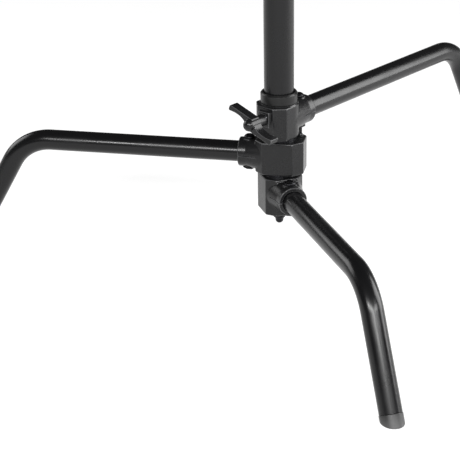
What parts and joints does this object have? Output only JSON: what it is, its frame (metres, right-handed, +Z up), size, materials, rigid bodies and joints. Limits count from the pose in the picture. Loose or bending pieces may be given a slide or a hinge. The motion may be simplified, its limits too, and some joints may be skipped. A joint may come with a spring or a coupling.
{
  "type": "c stand",
  "caption": "Turtle-base C stand with swinging bent legs that nest, a lift-off column, telescoping risers locked by T-knobs and a grip pin on top.",
  "frame": {"origin": "centre of the footprint's box, on the floor", "axes": "+Z up along the column; the pictured view looks along +Y"},
  "size_m": [0.7516, 0.7232, 1.3219],
  "materials": {
    "tube_paint": "satin black powder coat on steel tube",
    "cast_paint": "matt black powder coat on castings and knobs",
    "black_steel": "blackened steel fasteners and sleeve",
    "bright_steel": "zinc-plated steel",
    "black_nylon": "matt black moulded nylon"
  },
  "bodies": {
    "base": {"base_sleeve": "black_steel", "base_cap": "black_steel", "centre_screw": "black_steel", "hub_pin": "black_steel", "upper_washer": "black_nylon", "middle_washer": "black_nylon", "lower_washer": "black_nylon", "top_hub": "cast_paint", "top_collar": "black_nylon", "top_leg_tube": "tube_paint", "top_leg_foot": "black_nylon", "top_leg_bolt": "black_steel", "top_leg_nut": "black_steel"},
    "middle_leg": {"middle_hub": "cast_paint", "middle_leg_tube": "tube_paint", "middle_leg_foot": "black_nylon", "middle_leg_bolt": "black_steel", "middle_leg_nut": "black_steel"},
    "bottom_leg": {"bottom_hub": "cast_paint", "bottom_leg_tube": "tube_paint", "bottom_leg_foot": "black_nylon", "bottom_leg_bolt": "black_steel", "bottom_leg_nut": "black_steel"},
    "column": {"column_tube": "tube_paint", "column_plug": "black_nylon", "column_clamp": "cast_paint", "column_bush": "black_nylon", "column_clamp_pin": "black_steel"},
    "riser_1": {"riser_1_tube": "tube_paint", "riser_1_guide": "black_nylon", "riser_1_clamp": "cast_paint", "riser_1_bush": "black_nylon", "riser_1_clamp_pin": "black_steel"},
    "riser_2": {"riser_2_tube": "tube_paint", "riser_2_guide": "black_nylon", "top_spigot": "bright_steel", "spigot_pin": "black_steel"},
    "base_screw": {"base_knob_pad": "bright_steel"},
    "base_handle": {"base_knob": "cast_paint", "base_knob_stud": "bright_steel"},
    "column_screw": {"column_knob_pad": "bright_steel"},
    "column_handle": {"column_knob": "cast_paint", "column_knob_stud": "bright_steel"},
    "riser_1_screw": {"riser_1_knob_pad": "bright_steel"},
    "riser_1_handle": {"riser_1_knob": "cast_paint", "riser_1_knob_stud": "bright_steel"}
  },
  "joints": [
    {"name": "middle_leg_swing", "type": "hinge", "parent": "base", "child": "middle_leg", "pos_m": [0.05048, -0.02915, 0.172], "axis": [0, 0, 1], "range_deg": [-120, 0]},
    {"name": "bottom_leg_swing", "type": "hinge", "parent": "base", "child": "bottom_leg", "pos_m": [0.05048, -0.02915, 0.128], "axis": [0, 0, 1], "range_deg": [0, 120]},
    {"name": "column_lift", "type": "slide", "parent": "base", "child": "column", "axis": [0, 0, 1], "range_m": [0, 0.15]},
    {"name": "riser_1_raise", "type": "slide", "parent": "column", "child": "riser_1", "axis": [0, 0, 1], "range_m": [0, 0.92]},
    {"name": "riser_2_raise", "type": "slide", "parent": "riser_1", "child": "riser_2", "axis": [0, 0, 1], "range_m": [0, 0.92]},
    {"name": "base_screw_feed", "type": "slide", "parent": "base", "child": "base_screw", "axis": [-0.6374, -0.7705, 0], "range_m": [0, 0.00219]},
    {"name": "base_knob_turn", "type": "hinge", "parent": "base_screw", "child": "base_handle", "pos_m": [0.05048, -0.02915, 0.222], "axis": [-0.6374, -0.7705, 0], "range_deg": [0, 631]},
    {"name": "column_screw_feed", "type": "slide", "parent": "column", "child": "column_screw", "axis": [-0.6374, -0.7705, 0], "range_m": [0, 0.00219]},
    {"name": "column_knob_turn", "type": "hinge", "parent": "column_screw", "child": "column_handle", "pos_m": [0.05048, -0.02915, 1.1301], "axis": [-0.6374, -0.7705, 0], "range_deg": [0, 631]},
    {"name": "riser_1_screw_feed", "type": "slide", "parent": "riser_1", "child": "riser_1_screw", "axis": [0.986, -0.1668, 0], "range_m": [0, 0.00219]},
    {"name": "riser_1_knob_turn", "type": "hinge", "parent": "riser_1_screw", "child": "riser_1_handle", "pos_m": [0.05048, -0.02915, 1.1951], "axis": [0.986, -0.1668, 0], "range_deg": [0, 631]}
  ],
  "couplings": [
    {"joint": "base_knob_turn", "follows": "base_screw_feed", "rad_per_m": 5026.5},
    {"joint": "column_knob_turn", "follows": "column_screw_feed", "rad_per_m": 5026.5},
    {"joint": "riser_1_knob_turn", "follows": "riser_1_screw_feed", "rad_per_m": 5026.5}
  ]
}
